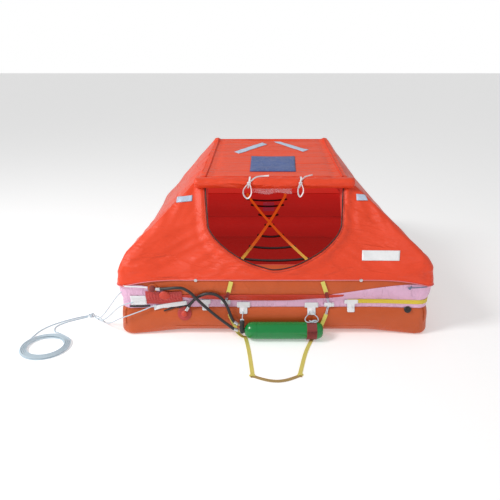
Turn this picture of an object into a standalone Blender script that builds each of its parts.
"""Inflatable life raft for six people, inflated and standing on a flat floor.

Two square rings of inflated tube lie one on the other, with a fabric floor under them. A tent
canopy stands on the upper ring over a central arch tube and a smaller door arch. The front of the
raft, with its door, gas cylinder and boarding ladder, faces -Y. Lengths are metres, +Z is up, and
the origin is on the floor under the middle of the raft and its laid-out ladder.
"""

import math

import bmesh
import bpy
from mathutils import Quaternion, Vector

GAP = 0.0003

# The raft and its tubes
RAFT_WIDTH = 2.0
RAFT_DEPTH = 2.1
TUBE_R = 0.115
TUBE_SQUASH = 0.008  # how far each tube flattens where the two are glued together
FOOT_FLAT = 0.003  # how far the lower tube flattens on the floor
FOOT_EASE = 0.004  # section corners this near the flat lie on it
LADDER_REACH = 0.53  # how far the boarding ladder lies out in front
LIFELINE_PROUD = 0.0062  # how far the lifeline stands out behind the tubes
CORNER_POWER = 3.0  # the mitred corners are boxier than the round tube
CORNER_BLEND = 0.3
CORNER_INNER = 0.02
CORNER_GROWTH = 0.25
CORNER_STEPS = 4
STRAIGHT_STOPS = (0.1, 0.25, 0.5, 0.75, 0.9)
SECTION_STEPS = 20

FRONT_Y = -(RAFT_DEPTH + LIFELINE_PROUD - LADDER_REACH) / 2
RING_Y = FRONT_Y + RAFT_DEPTH / 2
HALF_X = RAFT_WIDTH / 2 - TUBE_R
HALF_Y = RAFT_DEPTH / 2 - TUBE_R
LOWER_Z = TUBE_R - FOOT_FLAT
UPPER_Z = LOWER_Z + 2 * (TUBE_R - TUBE_SQUASH) + GAP
RING_TOP = UPPER_Z + TUBE_R

# The canopy
SKIN = 0.003
SKIN_CLEAR = 0.0015  # room for the straight facets of the skin over the round tube
CANOPY_R = TUBE_R + SKIN + GAP + SKIN_CLEAR  # outer face of the canopy where it wraps the upper tube
HEM_ANGLE = math.radians(29.5)
FRONT_ANGLE = math.radians(38.0)
SIDE_ANGLE = math.radians(38.3)
REAR_ANGLE = math.radians(55.8)
CANOPY_CORNER_R = 0.05
CORNER_OUT = 0.112
CORNER_HEM_OUT = 0.1215
CORNER_EASE = 0.0108
CORNER_KNUCKLE_Z = 0.485
CORNER_HEM_Z = 0.352
SKIRT_SHARES = (0.0, 0.35, 0.7, 1.0)
PANEL_DRAW = 0.9992  # each panel is drawn in a hair, which leaves the gap of a seam
PANEL_ROWS = 4
ARCH_HALF = 0.43
ARCH_Y = FRONT_Y + 1.05
ARCH_Z = 1.105
FOLD_HALF = 0.49
FOLD_Y = FRONT_Y + 0.45
FOLD_Z = 0.948
ARCH_R = 0.07
ARCH_BEND = 0.12
DOOR_ARCH_R = 0.03
DOOR_ARCH_HALF = 0.468
DOOR_ARCH_BEND = 0.07

# The door opening, measured in height and half width
DOOR_TOP = 0.888
DOOR_TOP_HALF = 0.455
DOOR_SIDE_Z = 0.68
DOOR_SIDE_HALF = 0.43
DOOR_SILL_Z = 0.443
DOOR_POWER = 1.4
ROLL_R = 0.037
ROLL_LENGTH = 1.066
ROLL_Z = 0.925
TAPE = 0.002

# Gas cylinder, valve and hoses
BOTTLE_R = 0.056
BOTTLE_LEFT = -0.195
BOTTLE_RIGHT = 0.306
BOTTLE_STRAP_X = (0.199, 0.262)
HOSE_R = 0.0095

# Ropes and lines
LINE_R = 0.0035
ROPE_R = 0.0045
KNOT = (-1.264, 0.244)
COIL_CENTRE = (-1.44, -0.155)
COIL_OUTER = 0.155
COIL_INNER = 0.095
COIL_HEIGHT = 0.027


def clear_scene():
    for item in list(bpy.data.objects):
        bpy.data.objects.remove(item, do_unlink=True)


def material(name, colour, roughness, metallic=0.0):
    made = bpy.data.materials.new(name)
    made.use_nodes = True
    shader = made.node_tree.nodes["Principled BSDF"]
    shader.inputs["Base Color"].default_value = (*colour, 1.0)
    shader.inputs["Roughness"].default_value = roughness
    shader.inputs["Metallic"].default_value = metallic
    return made


def place(name, shape, finish, flat=False):
    """Put a bmesh in the scene as one object with its faces pointing out."""
    bmesh.ops.recalc_face_normals(shape, faces=shape.faces)
    if shape.calc_volume(signed=True) < 0:
        bmesh.ops.reverse_faces(shape, faces=shape.faces)
    mesh = bpy.data.meshes.new(name)
    shape.to_mesh(mesh)
    shape.free()
    mesh.materials.append(finish)
    if not flat:
        mesh.shade_smooth()
        mesh.set_sharp_from_angle(angle=math.radians(35))
    made = bpy.data.objects.new(name, mesh)
    bpy.context.collection.objects.link(made)
    return made


def loft(name, sections, finish, closed=False):
    """Join like sections, each a loop of points, into one closed skin."""
    shape = bmesh.new()
    loops = [[shape.verts.new(point) for point in section] for section in sections]
    count = len(loops[0])
    pairs = list(zip(loops, loops[1:]))
    if closed:
        pairs.append((loops[-1], loops[0]))
    for here, there in pairs:
        for i in range(count):
            j = (i + 1) % count
            shape.faces.new((here[i], here[j], there[j], there[i]))
    if not closed:
        shape.faces.new(loops[0])
        shape.faces.new(reversed(loops[-1]))
    return place(name, shape, finish)


def box(name, low, high, finish):
    """A plain block between two corners."""
    sections = []
    for z in (low[2], high[2]):
        sections.append([
            (low[0], low[1], z),
            (high[0], low[1], z),
            (high[0], high[1], z),
            (low[0], high[1], z),
        ])
    return loft(name, sections, finish)


def front(x, y, z):
    """A point measured from the raft's front face, with y growing towards the back."""
    return Vector((x, FRONT_Y + y, z))


# The ring's stations: four corners of a few steps, and a few stops along each straight side
CORNER_SIGNS = ((1, -1), (1, 1), (-1, 1), (-1, -1))


def ring_stations():
    """Each station is a corner number, the angle it looks at and how far it is to the next corner."""
    found = []
    for corner in range(4):
        start = math.radians(90 * corner - 90)
        for step in range(CORNER_STEPS + 1):
            found.append((corner, start + math.radians(90) * step / CORNER_STEPS, 0.0))
        for stop in STRAIGHT_STOPS:
            found.append((corner, start + math.radians(90), stop))
    return found


STATIONS = ring_stations()


def plan_point(station, offset, radius=None):
    """Where a station lies in plan, at an offset outside the tubes' centreline."""
    corner, angle, along = station
    if radius is None:
        radius = CORNER_INNER + (offset + TUBE_R) * CORNER_GROWTH
    half_x = HALF_X + offset - radius
    half_y = HALF_Y + offset - radius

    def on_corner(index):
        sign_x, sign_y = CORNER_SIGNS[index % 4]
        x = sign_x * half_x + radius * math.cos(angle)
        y = RING_Y + sign_y * half_y + radius * math.sin(angle)
        return Vector((x, y))

    return on_corner(corner).lerp(on_corner(corner + 1), along)


def cornerness(station):
    """1 in a corner, falling to 0 a little way along the straight side."""
    corner, _, along = station
    if along == 0.0:
        return 1.0
    side = 2 * (HALF_Y if corner % 2 == 0 else HALF_X)
    distance = min(along, 1 - along) * side
    return max(0.0, 1 - distance / CORNER_BLEND) ** 2


def tube_power(station):
    return 2 + (CORNER_POWER - 2) * cornerness(station)


def section_point(station, step):
    """A corner of the tube's section, as shares of its radius outward and upward."""
    power = 2 / tube_power(station)
    angle = 2 * math.pi * step / SECTION_STEPS
    out = math.copysign(abs(math.cos(angle)) ** power, math.cos(angle))
    up = math.copysign(abs(math.sin(angle)) ** power, math.sin(angle))
    return out, up


def tube_reach(station, height):
    """How far the tube reaches out from its centreline at a height above its centre."""
    power = tube_power(station)
    share = min(1.0, abs(height) / TUBE_R)
    return TUBE_R * (1 - share ** power) ** (1 / power)


def ring(name, profile, finish, stations=None):
    """Sweep a profile, a list of (offset, height) for each station, round the raft."""
    sections = []
    for station in stations or STATIONS:
        section = []
        for offset, height in profile(station):
            plan = plan_point(station, offset)
            section.append((plan.x, plan.y, height))
        sections.append(section)
    return loft(name, sections, finish, closed=stations is None)


def tube_profile(centre, lowest, highest):
    """The tube's round section, boxier in the corners and flat where it is pressed."""

    def profile(station):
        points = []
        for step in range(SECTION_STEPS):
            out, up = section_point(station, step)
            height = min(highest, max(lowest, up * TUBE_R))
            if height < lowest + FOOT_EASE:
                height = lowest
            points.append((out * TUBE_R, centre + height))
        return points

    return profile


BAND_LOW = 0.190
BAND_HIGH = 0.246
BAND = 0.003
BAND_CLEAR = 0.0001


def band_offset(station):
    """The joint band's inner face, just clear of both tubes."""
    lower = tube_reach(station, BAND_LOW - LOWER_Z)
    upper = tube_reach(station, UPPER_Z - BAND_HIGH)
    return max(lower, upper) + GAP + BAND_CLEAR


def band_profile(station):
    inner = band_offset(station)
    return [
        (inner, BAND_LOW),
        (inner + BAND, BAND_LOW),
        (inner + BAND, BAND_HIGH),
        (inner, BAND_HIGH),
    ]


LIFELINE_LOW = 0.222
LIFELINE_HIGH = 0.243
LIFELINE = 0.002


def lifeline_profile(station):
    inner = band_offset(station) + BAND + GAP
    return [
        (inner, LIFELINE_LOW),
        (inner + LIFELINE, LIFELINE_LOW),
        (inner + LIFELINE, LIFELINE_HIGH),
        (inner, LIFELINE_HIGH),
    ]


def make_rings(looks):
    """The two tubes, the band in the groove between them and the lifeline on it."""
    lower = tube_profile(LOWER_Z, -LOWER_Z, TUBE_R - TUBE_SQUASH)
    ring("lower_tube", lower, looks["tube"])
    upper = tube_profile(UPPER_Z, -(TUBE_R - TUBE_SQUASH), TUBE_R)
    ring("upper_tube", upper, looks["tube"])
    ring("joint_band", band_profile, looks["band"])
    # From the middle of the front's right half, round the back, to the front left corner
    start = STATIONS.index((3, math.radians(270), 0.75))
    around = STATIONS[start:] + STATIONS[: STATIONS.index((3, math.radians(180), 0.0)) + 1]
    ring("lifeline", lifeline_profile, looks["webbing"], around)


FLOOR_LOW = 0.0055
FLOOR_HIGH = 0.0095
POCKET = 0.005
POCKET_HALF = (0.2, 0.14)
POCKET_PLACES = ((-0.5, -0.55), (0.5, -0.55), (-0.5, 0.55), (0.5, 0.55))


def make_floor(looks):
    """The fabric floor inside the lower tube, and the flat water pockets under it."""
    outline = []
    for station in STATIONS:
        inner = -tube_reach(station, LOWER_Z - FLOOR_HIGH) - GAP
        outline.append(plan_point(station, inner))
    sections = [[(p.x, p.y, z) for p in outline] for z in (FLOOR_LOW, FLOOR_HIGH)]
    loft("raft_floor", sections, looks["floor"])
    for number, (x, y) in enumerate(POCKET_PLACES, 1):
        low = (x - POCKET_HALF[0], RING_Y + y - POCKET_HALF[1], FLOOR_LOW - GAP - POCKET)
        high = (x + POCKET_HALF[0], RING_Y + y + POCKET_HALF[1], FLOOR_LOW - GAP)
        box(f"water_pocket_{number}", low, high, looks["floor"])


def side_of(station):
    """Which side of the canopy a station is on, with each corner's middle on both sides."""
    corner, angle, along = station
    if along > 0:
        return ("right", "rear", "left", "front")[corner]
    turned = math.degrees(angle) - (90 * corner - 90)
    if abs(turned - 45) < 1:
        return "seam"
    names = ("front", "right", "rear", "left", "front")
    return names[corner] if turned < 45 else names[corner + 1]


def hem_row(station, share, blend):
    """The skirt's rows on the tube, from the hem at share 0 to the knuckle at share 1."""
    angles = {"front": FRONT_ANGLE, "right": SIDE_ANGLE, "left": SIDE_ANGLE, "rear": REAR_ANGLE}
    top = angles.get(side_of(station), FRONT_ANGLE)
    angle = HEM_ANGLE + (top - HEM_ANGLE) * share
    power = tube_power(station)
    boxy = (math.cos(angle) ** power + math.sin(angle) ** power) ** (-1 / power)
    radius = TUBE_R * boxy + CANOPY_R - TUBE_R + CORNER_EASE * min(1.0, 4 * blend)
    out = radius * math.cos(angle)
    up = UPPER_Z + radius * math.sin(angle)
    corner_out = CORNER_HEM_OUT + (CORNER_OUT - CORNER_HEM_OUT) * share
    corner_up = CORNER_HEM_Z + (CORNER_KNUCKLE_Z - CORNER_HEM_Z) * share
    out += (corner_out - out) * blend
    up += (corner_up - up) * blend
    plan = plan_point(station, out, CANOPY_CORNER_R)
    return Vector((plan.x, plan.y, up))


def ridge_point(station, point):
    """The point of the canopy's top edge that a point of its foot is stretched to."""
    side = side_of(station)
    if side == "seam":
        side = "rear" if station[0] in (1, 2) else "front"
    seam_x = HALF_X + CORNER_OUT - CANOPY_CORNER_R * (1 - math.sqrt(0.5))
    share = max(-1.0, min(1.0, point.x / seam_x))
    if side == "front":
        return Vector((FOLD_HALF * share, FOLD_Y, FOLD_Z))
    if side == "rear":
        return Vector((ARCH_HALF * share, ARCH_Y, ARCH_Z))
    seam_y = FRONT_Y + TUBE_R - CORNER_OUT + CANOPY_CORNER_R * (1 - math.sqrt(0.5))
    share = max(0.0, min(1.0, (point.y - seam_y) / (ARCH_Y - seam_y)))
    sign = math.copysign(1.0, point.x)
    start = Vector((FOLD_HALF * sign, FOLD_Y, FOLD_Z))
    return start.lerp(Vector((ARCH_HALF * sign, ARCH_Y, ARCH_Z)), share)


def canopy_columns():
    """Each station's column of points, from the hem up to the canopy's top edge."""
    columns = []
    for station in STATIONS:
        column = [hem_row(station, share, cornerness(station)) for share in SKIRT_SHARES]
        top = ridge_point(station, column[-1])
        taut = hem_row(station, 1.0, 0.0)
        fullness = column[-1] - taut
        for row in range(1, PANEL_ROWS + 1):
            share = row / PANEL_ROWS
            column.append(taut.lerp(top, share) + fullness * (1 - share) ** 2)
        columns.append(column)
    return columns


PANELS = ("front", "right", "rear", "left", "roof")


def canopy_shape():
    """The whole canopy as one sheet of triangles, with the names of the panels on its faces."""
    shape = bmesh.new()
    owner = shape.faces.layers.int.new("panel")
    known = {}

    def vertex(point):
        key = tuple(round(value, 5) for value in point)
        if key not in known:
            known[key] = shape.verts.new(point)
        return known[key]

    columns = canopy_columns()
    count = len(columns)
    for i in range(count):
        j = (i + 1) % count
        name = side_of(STATIONS[i])
        if name == "seam":
            name = side_of(STATIONS[j])
        for row in range(len(columns[i]) - 1):
            corners = []
            for point in (columns[i][row], columns[j][row], columns[j][row + 1], columns[i][row + 1]):
                corner = vertex(point)
                if corner not in corners:
                    corners.append(corner)
            if len(corners) > 2:
                shape.faces.new(corners)[owner] = PANELS.index(name)
    roof = [column[-1] for column in columns]
    rim = []
    for point in roof:
        corner = vertex(point)
        if corner not in rim:
            rim.append(corner)
    shape.faces.new(rim)[owner] = PANELS.index("roof")
    # Triangles keep the inner and outer skins parallel where a quad would bend either way
    bmesh.ops.triangulate(shape, faces=list(shape.faces))
    return shape, {face: PANELS[face[owner]] for face in shape.faces}


def make_canopy(looks):
    """Cut the sheet along its seams and give each panel its thickness."""
    shape, panel = canopy_shape()
    bmesh.ops.recalc_face_normals(shape, faces=shape.faces)
    shape.normal_update()
    inner = {}
    for corner in shape.verts:
        inner[corner] = corner.co - corner.normal * SKIN * min(1.6, corner.calc_shell_factor())
    made = {}
    for name in PANELS:
        faces = [face for face, owner in panel.items() if owner == name]
        corners = {corner for face in faces for corner in face.verts}
        centre = sum((corner.co for corner in corners), Vector()) / len(corners)
        solid = bmesh.new()
        outside = {}
        inside = {}
        for corner in sorted(corners, key=lambda found: tuple(found.co)):
            outside[corner] = solid.verts.new(centre + (corner.co - centre) * PANEL_DRAW)
            inside[corner] = solid.verts.new(centre + (inner[corner] - centre) * PANEL_DRAW)
        for face in faces:
            solid.faces.new([outside[corner] for corner in face.verts])
            solid.faces.new([inside[corner] for corner in reversed(face.verts)])
            for loop in face.loops:
                partners = [other for other in loop.edge.link_faces if other is not face]
                if not partners or panel[partners[0]] != name:
                    here, there = loop.vert, loop.link_loop_next.vert
                    solid.faces.new((outside[there], outside[here], inside[here], inside[there]))
        made[name] = place(f"canopy_{name}", solid, looks["canopy"], flat=True)
    shape.free()
    return made


def door_outline():
    """The door's half widths and heights, from the top left down round the sill to the top right."""
    points = [(-DOOR_TOP_HALF, DOOR_TOP)]
    steps = 12
    for step in range(-steps, steps + 1):
        share = math.sin(math.radians(90) * step / steps)
        drop = (1 - abs(share) ** DOOR_POWER) ** (1 / DOOR_POWER)
        points.append((DOOR_SIDE_HALF * share, DOOR_SIDE_Z - (DOOR_SIDE_Z - DOOR_SILL_Z) * drop))
    points.append((DOOR_TOP_HALF, DOOR_TOP))
    return points


def cut_door(panel, looks):
    """Cut the door opening square through the sloping front panel."""
    slope = Vector((0, -math.cos(FRONT_ANGLE), math.sin(FRONT_ANGLE)))
    fold = Vector((0, FOLD_Y, FOLD_Z))
    up = Vector((0, -math.sin(FRONT_ANGLE), -math.cos(FRONT_ANGLE)))
    sections = []
    for side in (-0.03, 0.03):
        section = []
        for x, z in door_outline():
            down = (FOLD_Z - z) / math.cos(FRONT_ANGLE)
            section.append(fold + up * down + slope * side + Vector((x, 0, 0)))
        sections.append(section)
    cutter = loft("door_cutter", sections, looks["canopy"])
    cutter.hide_render = True
    cutter.display_type = "WIRE"
    cut = panel.modifiers.new("door", "BOOLEAN")
    cut.operation = "DIFFERENCE"
    # The exact solver loses this thin folded panel, and the manifold one cuts it cleanly
    cut.solver = "MANIFOLD"
    cut.object = cutter


def tube_along(name, path, radius, finish, sides=14, flat_ends=None):
    """A round tube through a path; flat_ends gives the height at which its ends are cut level."""
    sections = []
    last = len(path) - 1
    for i, point in enumerate(path):
        ahead = (path[min(i + 1, last)] - path[max(i - 1, 0)]).normalized()
        side = ahead.cross(Vector((0, 1, 0)))
        if side.length < 0.3:
            side = ahead.cross(Vector((1, 0, 0)))
        side.normalize()
        other = ahead.cross(side).normalized()
        section = []
        for step in range(sides):
            angle = 2 * math.pi * step / sides
            spot = point + (side * math.cos(angle) + other * math.sin(angle)) * radius
            if flat_ends is not None and i in (0, last):
                spot += ahead * ((flat_ends - spot.z) / ahead.z)
            section.append(spot)
        sections.append(section)
    return loft(name, sections, finish)


def bent(points, radius, steps=5):
    """A path of straight runs whose inner corners are rounded."""
    path = [points[0]]
    for before, corner, after in zip(points, points[1:], points[2:]):
        back = (before - corner).normalized()
        ahead = (after - corner).normalized()
        half = back.angle(ahead) / 2
        reach = radius / math.tan(half)
        centre = corner + (back + ahead).normalized() * (radius / math.sin(half))
        start = corner + back * reach - centre
        end = corner + ahead * reach - centre
        axis = start.cross(end)
        turn = start.angle(end)
        for step in range(steps + 1):
            path.append(centre + Quaternion(axis, turn * step / steps) @ start)
    path.append(points[-1])
    return path


def make_arches(looks):
    """The central arch tube, and the small arch round the door, both standing on the upper tube."""
    rear_rise = math.radians(34.2)
    top_z = ARCH_Z - (ARCH_R + SKIN + GAP + 0.001) / math.cos(rear_rise)
    leg = Vector((HALF_X + CANOPY_R * math.cos(SIDE_ANGLE) - ARCH_HALF, 0,
                  UPPER_Z + CANOPY_R * math.sin(SIDE_ANGLE) - ARCH_Z)).normalized()
    inward = Vector((leg.z, 0, -leg.x))
    on_leg = Vector((ARCH_HALF, ARCH_Y, ARCH_Z)) + inward * (ARCH_R + SKIN + GAP + 0.003)
    shoulder = on_leg + leg * ((top_z - on_leg.z) / leg.z)
    foot_z = RING_TOP + GAP
    foot = on_leg + leg * ((foot_z - on_leg.z) / leg.z)
    mirror = Vector((-1, 1, 1))
    path = bent([foot * mirror, shoulder * mirror, shoulder, foot], ARCH_BEND)
    tube_along("arch_tube", path, ARCH_R, looks["arch"], flat_ends=foot_z)

    depth = DOOR_ARCH_R + SKIN + GAP + 0.0015
    roof_rise = math.atan2(ARCH_Z - FOLD_Z, ARCH_Y - FOLD_Y)
    half = (math.radians(90) - FRONT_ANGLE - roof_rise) / 2
    bisector = Vector((0, -math.sin(roof_rise + half), math.cos(roof_rise + half)))
    bar = Vector((DOOR_ARCH_HALF, FOLD_Y, FOLD_Z)) - bisector * depth / math.cos(half)
    down = Vector((0, -math.sin(FRONT_ANGLE), -math.cos(FRONT_ANGLE)))
    heel = bar + down * ((foot_z - bar.z) / down.z)
    path = bent([heel * mirror, bar * mirror, bar, heel], DOOR_ARCH_BEND)
    tube_along("door_arch", path, DOOR_ARCH_R, looks["arch"], sides=10, flat_ends=foot_z)


def turned(name, profile, centre, finish, sides=20):
    """Turn a profile of (distance along X, radius) round a line along X."""
    sections = []
    for along, radius in profile:
        section = []
        for step in range(sides):
            angle = 2 * math.pi * (step + 0.5) / sides
            y = centre.y + radius * math.cos(angle)
            section.append((centre.x + along, y, centre.z + radius * math.sin(angle)))
        sections.append(section)
    return loft(name, sections, finish)


def strap_ring(name, centre, radius, thickness, span, finish, sides=20):
    """A flat strap buckled round something that lies along X."""
    start, end = span
    sections = []
    for step in range(sides):
        angle = 2 * math.pi * (step + 0.5) / sides
        around = Vector((0, math.cos(angle), math.sin(angle)))
        inner = radius / math.cos(math.pi / sides) + GAP
        section = []
        for x, out in ((start, inner), (end, inner), (end, inner + thickness), (start, inner + thickness)):
            section.append(Vector((x, centre.y, centre.z)) + around * out)
        sections.append(section)
    return loft(name, sections, finish, closed=True)


ROLL_OFF = ROLL_R + 2 * GAP + TAPE + 0.0008
TIE_PLACES = (("left", -0.142), ("right", 0.17))
TIE_WIDTH = 0.02


def make_door_roll(looks):
    """The rolled-up door under the roof's front edge, and the two tapes that tie it."""
    normal = Vector((0, -math.cos(FRONT_ANGLE), math.sin(FRONT_ANGLE)))
    down = Vector((0, -math.sin(FRONT_ANGLE), -math.cos(FRONT_ANGLE)))
    fall = (FOLD_Z + normal.z * ROLL_OFF - ROLL_Z) / math.cos(FRONT_ANGLE)
    centre = Vector((0, FOLD_Y, FOLD_Z)) + normal * ROLL_OFF + down * fall
    half = ROLL_LENGTH / 2
    profile = [
        (-half, ROLL_R * 0.7),
        (-half + 0.012, ROLL_R),
        (half - 0.012, ROLL_R),
        (half, ROLL_R * 0.7),
    ]
    turned("door_roll", profile, centre, looks["canopy"])
    for side, x in TIE_PLACES:
        span = (x - TIE_WIDTH / 2, x + TIE_WIDTH / 2)
        strap_ring(f"door_tie_{side}", centre, ROLL_R, TAPE, span, looks["tape"])


SIGN_HALF = 0.158
SIGN_SPAN = (0.07, 0.35)
SIGN = 0.002


def make_sign(looks):
    """The blank blue panel on the roof."""
    rise = (Vector((0, ARCH_Y, ARCH_Z)) - Vector((0, FOLD_Y, FOLD_Z))).normalized()
    normal = Vector((0, -rise.z, rise.y))
    sections = []
    for out in (GAP, GAP + SIGN):
        section = []
        for x, along in ((-1, 0), (1, 0), (1, 1), (-1, 1)):
            spot = Vector((x * SIGN_HALF, FOLD_Y, FOLD_Z)) + rise * SIGN_SPAN[along]
            section.append(spot + normal * out)
        sections.append(section)
    loft("roof_sign", sections, looks["sign"])


BOTTLE_STRAP = 0.002
BOTTLE_Y = -0.0516
BOTTLE_Z = BOTTLE_R + BOTTLE_STRAP + 2 * GAP + 0.0034


def make_gas(looks):
    """The gas cylinder in front of the lower tube, with its strap, valve, and hose ends."""
    centre = front(0, BOTTLE_Y, BOTTLE_Z)
    length = BOTTLE_RIGHT - BOTTLE_LEFT
    profile = [
        (BOTTLE_LEFT, 0.014),
        (BOTTLE_LEFT + 0.006, 0.030),
        (BOTTLE_LEFT + 0.022, 0.048),
        (BOTTLE_LEFT + 0.045, BOTTLE_R),
        (BOTTLE_LEFT + length - 0.022, BOTTLE_R),
        (BOTTLE_LEFT + length - 0.006, 0.048),
        (BOTTLE_LEFT + length, 0.034),
    ]
    turned("gas_cylinder", profile, centre, looks["green"])
    strap_ring("cylinder_strap", centre, BOTTLE_R, BOTTLE_STRAP, BOTTLE_STRAP_X, looks["red_webbing"])
    left = BOTTLE_LEFT - GAP
    low = front(left - 0.034, BOTTLE_Y - 0.015, 0.042)
    high = front(left, BOTTLE_Y + 0.015, 0.136)
    box("cylinder_valve", low, high, looks["black"])


def front_stations():
    """The stations from the front left corner to the front right one."""
    left = [station for station in STATIONS if station[0] == 3 and station[1] > math.radians(224)]
    right = [station for station in STATIONS if station[0] == 0 and station[1] < math.radians(-44)]
    return left + right


FRONT_STATIONS = front_stations()


def face_y(z, x):
    """The y of the raft's front face at a height and a width, from its foremost line."""
    outline = []
    for station in FRONT_STATIONS:
        reach = 0.0
        if z <= UPPER_Z:
            reach = tube_reach(station, z - LOWER_Z)
        if z >= LOWER_Z:
            reach = max(reach, tube_reach(station, z - UPPER_Z))
        if BAND_LOW - 0.004 <= z <= BAND_HIGH + 0.004:
            reach = max(reach, band_offset(station) + BAND)
        outline.append(plan_point(station, reach))
    for here, there in zip(outline, outline[1:]):
        if here.x <= x <= there.x:
            share = (x - here.x) / (there.x - here.x)
            return here.y + (there.y - here.y) * share - FRONT_Y
    return outline[0].y - FRONT_Y


def wrap(name, rows, thickness, finish, lift=GAP):
    """A flat piece laid on the raft's front face; each row is (z, left x, right x)."""
    sections = []
    for z, left, right in rows:
        corners = []
        for x in (left, right):
            slope = (face_y(z + 0.002, x) - face_y(z - 0.002, x)) / 0.004
            slope = max(-1.2, min(1.2, slope))
            out = Vector((0, -1, slope)).normalized()
            back = front(x, face_y(z, x) - lift - 0.0004, z)
            corners.append((back, back + out * thickness))
        (near_left, far_left), (near_right, far_right) = corners
        sections.append([near_left, near_right, far_right, far_left])
    return loft(name, sections, finish)


PATCH = 0.002
PATCH_ROWS = 0.008


def rows_between(top, bottom, step=PATCH_ROWS):
    """Heights from top to bottom at about equal steps."""
    count = max(1, round((top - bottom) / step))
    return [top + (bottom - top) * i / count for i in range(count + 1)]


def tee_patch(name, x, bar, stem, top, waist, bottom, lift, looks):
    """A white patch with a wide bar over a narrower stem."""
    rows = [(z, x - bar, x + bar) for z in rows_between(top, waist)]
    rows += [(z, x - stem, x + stem) for z in rows_between(waist - 0.002, bottom)]
    wrap(name, rows, PATCH, looks["tape"], lift)


def make_patches(looks):
    """White line patches on the front, the pleated pocket and the tow patch."""
    patches = (
        # name, x, half bar, half stem, top, waist, bottom, lift
        ("line_patch_1", -0.448, 0.036, 0.022, 0.240, 0.212, 0.166, GAP),
        ("line_patch_2", -0.203, 0.044, 0.026, 0.226, 0.186, 0.150, GAP),
        ("line_patch_3", 0.235, 0.044, 0.026, 0.223, 0.184, 0.146, GAP),
        ("line_patch_4", 0.489, 0.042, 0.024, 0.240, 0.212, 0.160, LIFELINE + 2 * GAP),
    )
    for name, x, bar, stem, top, waist, bottom, lift in patches:
        tee_patch(name, x, bar, stem, top, waist, bottom, lift, looks)
    rows = [(z, -0.915, -0.828) for z in rows_between(0.282, 0.214)]
    wrap("tow_patch", rows, PATCH, looks["tape"])
    rows = [(z, -0.818, -0.594) for z in rows_between(0.312, 0.252)]
    wrap("red_pocket", rows, 0.010, looks["red_webbing"])
    rows = [(z, -0.772, -0.572) for z in rows_between(0.226, 0.200)]
    wrap("tow_strap", rows, PATCH, looks["tape"])


SEAT = 0.0006


def make_valves(looks):
    """The hoses' two inlets and the topping-up valve, as short turned bosses on the tubes."""
    for name, x, z, radius, height, look in (
        ("inlet_upper", -0.775, 0.335, 0.020, 0.024, "black"),
        ("inlet_lower", -0.582, 0.152, 0.022, 0.020, "tape"),
        ("topping_valve", 0.853, 0.163, 0.021, 0.008, "black"),
    ):
        along_x = (face_y(z, x + 0.004) - face_y(z, x - 0.004)) / 0.008
        along_z = (face_y(z + 0.004, x) - face_y(z - 0.004, x)) / 0.008
        out = Vector((along_x, -1, along_z)).normalized()
        side = Vector((1, along_x, 0)).normalized()
        up = side.cross(out).normalized()
        middle = front(x, face_y(z, x), z)
        sections = []
        for away in (SEAT, SEAT + height):
            section = []
            for step in range(12):
                angle = 2 * math.pi * step / 12
                around = side * math.cos(angle) + up * math.sin(angle)
                section.append(middle + out * away + around * radius)
            sections.append(section)
        loft(name, sections, looks[look])


def ribbon(name, points, width, thickness, finish, on_floor=False):
    """A flat strap through points, lying across the way it runs."""
    sections = []
    last = len(points) - 1
    for i, point in enumerate(points):
        ahead = (points[min(i + 1, last)] - points[max(i - 1, 0)]).normalized()
        across = ahead.cross(Vector((0, 0, 1))) if on_floor else Vector((1, 0, 0))
        across = (across - ahead * across.dot(ahead)).normalized()
        out = ahead.cross(across).normalized()
        section = []
        for side, face in ((-1, -1), (1, -1), (1, 1), (-1, 1)):
            section.append(point + across * side * width / 2 + out * face * thickness / 2)
        sections.append(section)
    return loft(name, sections, finish)


STRAP_WIDTH = 0.024
STRAP = 0.002
RUNG_WIDTH = 0.022
RUNG_CLEAR = 0.0007
FLOOR_CLEAR = 0.0003


def make_boarding_ladder(looks):
    """The boarding ladder: a strap each side down the tubes to the floor, and the rung between."""
    on_floor = STRAP / 2 + FLOOR_CLEAR
    for side, x_top, x_low, floor_run in (
        ("left", -0.279, -0.268, ((-0.247, -0.004), (-0.190, -0.045), (-0.168, -0.2), (-0.146, -0.458))),
        ("right", 0.293, 0.330, ((0.325, -0.004), (0.236, -0.062), (0.18, -0.22), (0.124, -0.450))),
    ):
        points = []
        heights = rows_between(0.372, 0.06, 0.026)
        for z in heights:
            share = (heights[0] - z) / (heights[0] - heights[-1])
            y = min(face_y(z, x_top), 0.03) - GAP - STRAP / 2 - 0.0012
            if z < LOWER_Z:
                y = -GAP - STRAP / 2 - 0.0012
            points.append(front(x_top + (x_low - x_top) * share, y, z))
        x, y = floor_run[0]
        points.append(front(x, y, 0.03))
        points.append(front(x + (floor_run[1][0] - x) * 0.2, y - 0.008, on_floor + 0.006))
        for x, y in floor_run[1:]:
            points.append(front(x, y, on_floor))
        ribbon(f"ladder_strap_{side}", points, STRAP_WIDTH, STRAP, looks["webbing"])
    start = Vector((-0.146 - STRAP_WIDTH / 2, -0.459 - RUNG_CLEAR - RUNG_WIDTH / 2))
    end = Vector((0.124 + STRAP_WIDTH / 2, -0.4533 - RUNG_CLEAR - RUNG_WIDTH / 2))
    reach = LADDER_REACH - RUNG_WIDTH / 2
    points = []
    for step in range(13):
        share = step / 12
        flat = start.lerp(end, share)
        bow = max(0.0, math.sin(math.pi * (share * 1.16 - 0.08)))
        points.append(front(flat.x, flat.y + (-reach - flat.y) * bow, on_floor))
    ribbon("ladder_rung", points, RUNG_WIDTH, STRAP, looks["webbing"], on_floor=True)


INNER_FRONT = (0.222, 0.20)
INNER_REAR = (0.183, 1.90)
INNER_SAG = 0.03
INNER_WIDTH = 0.025
INNER_STEPS = 24
RUNG_R = 0.009
RUNG_STOPS = (0.04, 0.205, 0.37, 0.53, 0.69, 0.85, 0.95)


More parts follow.
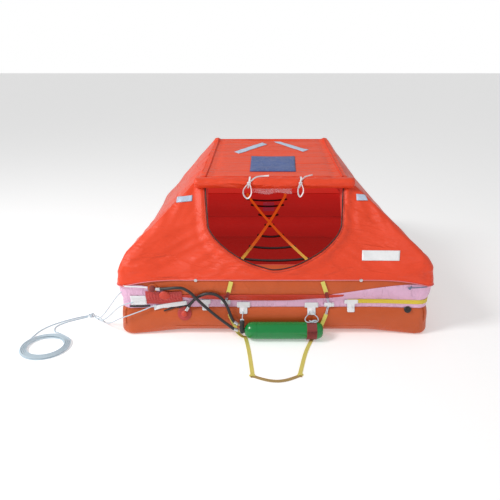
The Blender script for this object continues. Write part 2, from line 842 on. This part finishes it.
def make_inner_ladder(looks):
    """The inner ladder: two straps that cross, drawn across the raft from sill to back, and rungs."""
    top = RING_TOP + GAP + STRAP / 2 + 0.0002

    def along(share, sign, lift=0.0):
        x = sign * INNER_FRONT[0] * (1 - share) - sign * INNER_REAR[0] * share
        y = INNER_FRONT[1] + (INNER_REAR[1] - INNER_FRONT[1]) * share
        z = top - INNER_SAG * math.sin(math.pi * share) + lift
        return front(x, y, z)

    for side, sign in (("left", -1), ("right", 1)):
        points = []
        for step in range(INNER_STEPS + 1):
            share = step / INNER_STEPS
            over = 0.0
            if sign > 0:
                over = (STRAP + GAP + 0.0006) * math.exp(-((share - 0.548) / 0.08) ** 2)
            points.append(along(share, sign, over))
        for end, y in ((0, 0.115), (len(points), 1.985)):
            share = 0.0 if end == 0 else 1.0
            x = points[0].x if end == 0 else points[-1].x
            points.insert(end, front(x, y, top))
        ribbon(f"inner_strap_{side}", points, INNER_WIDTH, STRAP, looks["inner_webbing"])
    for number, share in enumerate(RUNG_STOPS, 1):
        middle = along(share, 1)
        half = abs(middle.x) + 0.03
        low = middle.z - STRAP / 2 - GAP - RUNG_R - 0.0003
        ends = [front(-half, 0, low), front(half, 0, low)]
        for end in ends:
            end.y = middle.y
        tube_along(f"inner_rung_{number}", ends, RUNG_R, looks["black"], sides=10)


def make_pouch(looks):
    """The small equipment pouch hung on the inner face of the rear tube."""
    back = RAFT_DEPTH - 2 * TUBE_R - GAP
    low = front(-0.035, back - 0.022, 0.30)
    high = front(0.075, back, 0.385)
    box("rear_pouch", low, high, looks["band"])


def smooth_route(points, spacing):
    """Even points along a smooth curve through a route's own points."""
    ends = [points[0] * 2 - points[1]] + list(points) + [points[-1] * 2 - points[-2]]
    fine = []
    for a, b, c, d in zip(ends, ends[1:], ends[2:], ends[3:]):
        for step in range(24):
            t = step / 24
            fine.append(0.5 * (2 * b + (c - a) * t + (2 * a - 5 * b + 4 * c - d) * t ** 2
                               + (3 * b - 3 * c + d - a) * t ** 3))
    fine.append(points[-1].copy())
    lengths = [0.0]
    for here, there in zip(fine, fine[1:]):
        lengths.append(lengths[-1] + (there - here).length)
    count = max(2, round(lengths[-1] / spacing))
    even = []
    spot = 0
    for step in range(count + 1):
        wanted = lengths[-1] * step / count
        while spot < len(fine) - 2 and lengths[spot + 1] < wanted:
            spot += 1
        share = (wanted - lengths[spot]) / (lengths[spot + 1] - lengths[spot])
        even.append(fine[spot].lerp(fine[spot + 1], min(1.0, share)))
    return even


def cord(name, route, radius, finish):
    """A round cord as a bevelled curve along the smooth route."""
    points = smooth_route(route, max(5 * radius, 0.012))
    curve = bpy.data.curves.new(name, "CURVE")
    curve.dimensions = "3D"
    curve.bevel_depth = radius
    curve.bevel_resolution = 2
    curve.use_fill_caps = True
    line = curve.splines.new("POLY")
    line.points.add(len(points) - 1)
    for spot, point in zip(line.points, points):
        spot.co = (*point, 1.0)
    curve.materials.append(finish)
    made = bpy.data.objects.new(name, curve)
    bpy.context.collection.objects.link(made)
    return made


HOSE_UPPER_ROUTE = (
    # x, y from the raft's front face, z
    (-0.238, -0.050, 0.062),
    (-0.262, -0.050, 0.070),
    (-0.300, -0.046, 0.098),
    (-0.345, -0.042, 0.133),
    (-0.395, -0.038, 0.176),
    (-0.445, -0.036, 0.223),
    (-0.495, -0.035, 0.275),
    (-0.535, -0.033, 0.318),
    (-0.580, -0.030, 0.346),
    (-0.625, -0.029, 0.350),
    (-0.665, -0.024, 0.344),
    (-0.705, -0.017, 0.338),
    (-0.735, -0.0135, 0.3355),
    (-0.7540, -0.0125, 0.335),
)
HOSE_LOWER_ROUTE = (
    (-0.238, -0.050, 0.104),
    (-0.256, -0.046, 0.112),
    (-0.276, -0.034, 0.135),
    (-0.290, -0.022, 0.168),
    (-0.303, -0.016, 0.205),
    (-0.322, -0.014, 0.245),
    (-0.352, -0.014, 0.280),
    (-0.392, -0.013, 0.300),
    (-0.435, -0.013, 0.302),
    (-0.475, -0.008, 0.286),
    (-0.510, 0.001, 0.258),
    (-0.537, 0.009, 0.227),
    (-0.555, 0.011, 0.198),
    (-0.5712, 0.0038, 0.1746),
)


def make_hoses(looks):
    """The two black filling hoses from the valve to the inlets on the tubes."""
    for name, route in (("hose_upper", HOSE_UPPER_ROUTE), ("hose_lower", HOSE_LOWER_ROUTE)):
        cord(name, [front(*point) for point in route], HOSE_R, looks["black"])


BRIDLE_ROUTES = (
    # Each bridle line leaves the tube, drops to the floor and runs to the knot
    ("bridle_line_1", (
        (-0.9778, 0.0222, 0.300),
        (-0.996, 0.010, 0.286),
        (-1.020, 0.012, 0.258),
        (-1.060, 0.045, 0.200),
        (-1.105, 0.085, 0.135),
        (-1.150, 0.125, 0.074),
        (-1.190, 0.165, 0.032),
        (-1.222, 0.203, 0.016),
        (-1.2428, 0.230, 0.0150),
    )),
    ("bridle_line_2", (
        (-0.905, 0.0041, 0.234),
        (-0.930, 0.0012, 0.230),
        (-0.955, -0.0015, 0.223),
        (-0.990, 0.002, 0.206),
        (-1.035, 0.030, 0.163),
        (-1.085, 0.072, 0.104),
        (-1.135, 0.118, 0.052),
        (-1.180, 0.165, 0.018),
        (-1.222, 0.216, 0.0045),
        (-1.2428, 0.240, 0.0045),
    )),
    ("bridle_line_3", (
        (-0.765, 0.0136, 0.210),
        (-0.795, 0.007, 0.200),
        (-0.835, -0.002, 0.185),
        (-0.890, -0.008, 0.165),
        (-0.950, -0.009, 0.142),
        (-1.000, -0.002, 0.120),
        (-1.050, 0.026, 0.083),
        (-1.100, 0.085, 0.040),
        (-1.146, 0.150, 0.010),
        (-1.190, 0.212, 0.0045),
        (-1.222, 0.246, 0.0045),
        (-1.2448, 0.2545, 0.0045),
    )),
)
PAINTER_ROUTE = (
    (-1.2900, 0.254, 0.0055),
    (-1.336, 0.238, 0.0048),
    (-1.386, 0.209, 0.0048),
    (-1.436, 0.174, 0.0048),
    (-1.484, 0.134, 0.0048),
    (-1.524, 0.086, 0.0048),
    (-1.550, 0.036, 0.0048),
    (-1.562, -0.014, 0.0048),
    (-1.5566, -0.0453, 0.0048),
)
RETURN_ROUTE = (
    (-1.2905, 0.236, 0.0055),
    (-1.330, 0.214, 0.0048),
    (-1.380, 0.184, 0.0048),
    (-1.424, 0.150, 0.0048),
    (-1.456, 0.112, 0.0048),
    (-1.466, 0.070, 0.0048),
    (-1.456, 0.030, 0.0048),
    (-1.450, 0.0004, 0.0048),
)


def make_lines(looks):
    """The bridle lines, the knot that gathers them, and the painter with its coil on the floor."""
    for name, route in BRIDLE_ROUTES:
        cord(name, [front(*point) for point in route], LINE_R, looks["rope"])
    low = front(KNOT[0] - 0.024, KNOT[1] - 0.016, 0.0)
    high = front(KNOT[0] + 0.018, KNOT[1] + 0.020, 0.026)
    box("bridle_knot", low, high, looks["rope"])
    cord("painter_line", [front(*point) for point in PAINTER_ROUTE], ROPE_R, looks["rope"])
    cord("painter_return", [front(*point) for point in RETURN_ROUTE], ROPE_R, looks["rope"])
    sections = []
    sides = 32
    for step in range(sides):
        angle = 2 * math.pi * step / sides
        around = Vector((math.cos(angle), math.sin(angle), 0))
        middle = front(COIL_CENTRE[0], COIL_CENTRE[1], 0)
        section = []
        for out, up in ((COIL_INNER, 0), (COIL_OUTER, 0), (COIL_OUTER, COIL_HEIGHT), (COIL_INNER, COIL_HEIGHT)):
            section.append(middle + around * out + Vector((0, 0, up)))
        sections.append(section)
    loft("painter_coil", sections, looks["rope"], closed=True)


def main():
    clear_scene()
    looks = {
        "tube": material("orange tube fabric", (0.57, 0.10, 0.03), 0.45),
        "arch": material("orange arch fabric", (0.60, 0.08, 0.03), 0.5),
        "canopy": material("orange canopy fabric", (0.85, 0.10, 0.04), 0.5),
        "band": material("lilac joint fabric", (0.68, 0.42, 0.60), 0.6),
        "floor": material("dark red floor fabric", (0.22, 0.03, 0.02), 0.6),
        "webbing": material("yellow webbing", (0.75, 0.62, 0.12), 0.7),
        "inner_webbing": material("orange webbing", (0.75, 0.30, 0.04), 0.7),
        "red_webbing": material("red webbing", (0.35, 0.04, 0.04), 0.7),
        "tape": material("white tape", (0.85, 0.86, 0.87), 0.6),
        "rope": material("white rope", (0.75, 0.80, 0.83), 0.8),
        "sign": material("blue panel", (0.10, 0.20, 0.45), 0.5),
        "green": material("green enamel", (0.02, 0.25, 0.09), 0.3),
        "black": material("black rubber", (0.02, 0.02, 0.02), 0.5),
    }
    make_rings(looks)
    make_floor(looks)
    panels = make_canopy(looks)
    cut_door(panels["front"], looks)
    make_arches(looks)
    make_door_roll(looks)
    make_sign(looks)
    make_gas(looks)
    make_patches(looks)
    make_valves(looks)
    make_boarding_ladder(looks)
    make_inner_ladder(looks)
    make_pouch(looks)
    make_hoses(looks)
    make_lines(looks)


main()
